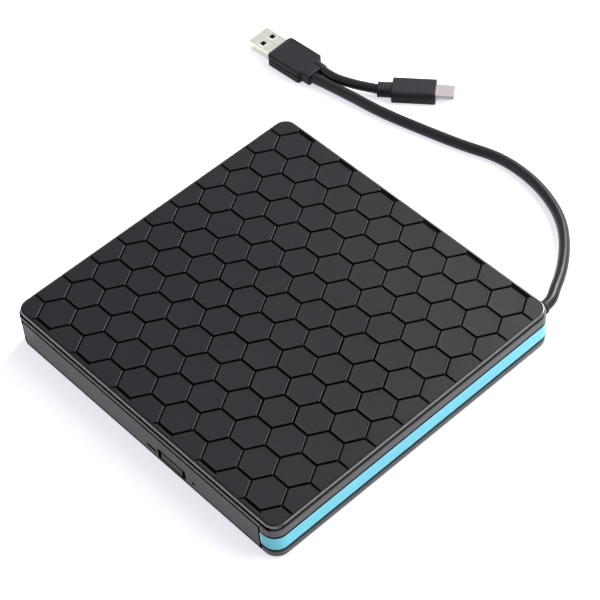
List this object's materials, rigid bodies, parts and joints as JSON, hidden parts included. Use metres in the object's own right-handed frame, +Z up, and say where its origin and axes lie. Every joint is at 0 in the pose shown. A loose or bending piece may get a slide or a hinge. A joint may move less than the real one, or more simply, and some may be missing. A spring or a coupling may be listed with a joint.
{
  "type": "external dvd drive",
  "caption": "Slim square external disc drive with a honeycomb top, a blue side band, a sliding tray and a short lead that splits into a large and a small plug.",
  "frame": {"origin": "middle of the case's footprint, on the surface that its feet stand on", "axes": "+Z up, the tray opens towards -Y, +X to the right as seen from the front"},
  "size_m": [0.2108, 0.2218, 0.02],
  "materials": {
    "panel_black": "satin moulded",
    "housing_black": "fine matt texture",
    "band_blue": "smooth satin",
    "bezel_black": "fine matt texture",
    "rubber_black": "matt",
    "foam_grey": "open foam",
    "screw_steel": "plated",
    "pressed_steel": "pressed sheet",
    "inner_plastic": "moulded",
    "tray_black": "moulded",
    "board_green": "solder mask",
    "component_black": "moulded",
    "ribbon_amber": "film",
    "light_white": "frosted",
    "cast_metal": "as cast",
    "ground_steel": "ground",
    "winding_copper": "enamelled wire",
    "hub_white": "moulded",
    "lens_glass": "coated",
    "cord_black": "soft jacket",
    "plug_black": "matt moulded",
    "nickel": "plated",
    "tongue_black": "moulded"
  },
  "bodies": {
    "case": {"top_panel": "panel_black", "upper_housing": "housing_black", "lower_housing": "housing_black", "trim_band": "band_blue", "feet": "rubber_black", "foam_pads": "foam_grey", "housing_screws": "screw_steel", "cover_screws": "screw_steel", "drive_base": "pressed_steel", "drive_cover": "pressed_steel", "striker_post": "pressed_steel", "ejector_spring": "pressed_steel", "rail_guide_left": "inner_plastic", "rail_guide_right": "inner_plastic", "ejector_holder": "inner_plastic", "ejector_pin": "inner_plastic", "drive_board": "board_green", "bridge_board": "board_green", "board_components": "component_black", "sata_plug": "component_black", "sata_socket": "component_black", "flex_ribbon": "ribbon_amber", "main_cord": "cord_black", "branch_cord": "cord_black", "inner_lead": "cord_black", "cable_gland": "cord_black", "usb_a_body": "plug_black", "usb_c_body": "plug_black", "usb_a_shell": "nickel", "usb_c_shell": "nickel", "plug_tongues": "tongue_black"},
    "tray_unit": {"tray": "tray_black", "bezel": "bezel_black", "led_lens": "light_white", "front_board": "board_green", "eject_switch": "component_black", "front_light": "light_white", "traverse_frame": "cast_metal", "traverse_cover": "tray_black", "dampers": "rubber_black", "damper_screws": "screw_steel", "guide_rods": "ground_steel", "stepper_motor": "inner_plastic", "motor_base": "cast_metal", "stator": "winding_copper", "latch_pivot": "pressed_steel", "latch_magnet": "inner_plastic"},
    "slide_rails": {"slide_rail_left": "pressed_steel", "slide_rail_right": "pressed_steel"},
    "button": {"eject_button": "bezel_black"},
    "spindle": {"spindle_shaft": "ground_steel", "rotor_cup": "ground_steel", "turntable": "hub_white", "turntable_pad": "rubber_black", "disc_catches": "ground_steel"},
    "sled": {"optical_sled": "cast_metal", "lens_holder": "inner_plastic", "objective_lens": "lens_glass"},
    "feed_screw": {"lead_screw": "ground_steel"},
    "latch": {"latch_lever": "inner_plastic"}
  },
  "joints": [
    {"name": "tray_slide", "type": "slide", "parent": "case", "child": "tray_unit", "axis": [0, -1, 0], "range_m": [0, 0.127]},
    {"name": "rail_slide", "type": "slide", "parent": "case", "child": "slide_rails", "axis": [0, -1, 0], "range_m": [0, 0.0635]},
    {"name": "button_press", "type": "slide", "parent": "tray_unit", "child": "button", "axis": [0, 1, 0], "range_m": [0, 0.0006], "stiffness_N_per_m": 500, "springref_m": -0.001},
    {"name": "spindle_spin", "type": "hinge", "parent": "tray_unit", "child": "spindle", "pos_m": [0, -0.008, 0], "axis": [0, 0, 1], "continuous": true},
    {"name": "sled_slide", "type": "slide", "parent": "tray_unit", "child": "sled", "axis": [-0.6428, -0.766, 0], "range_m": [0, 0.034]},
    {"name": "feed_spin", "type": "hinge", "parent": "tray_unit", "child": "feed_screw", "pos_m": [-0.01808, 0.00717, 0.006], "axis": [-0.6428, -0.766, 0], "range_deg": [0, 4090]},
    {"name": "latch_turn", "type": "hinge", "parent": "tray_unit", "child": "latch", "pos_m": [0.0445, -0.042, 0.0048], "axis": [0, 0, 1], "range_deg": [0, 10]}
  ],
  "couplings": [
    {"joint": "rail_slide", "follows": "tray_slide", "ratio": 0.5},
    {"joint": "feed_spin", "follows": "sled_slide", "rad_per_m": 2094.4}
  ]
}
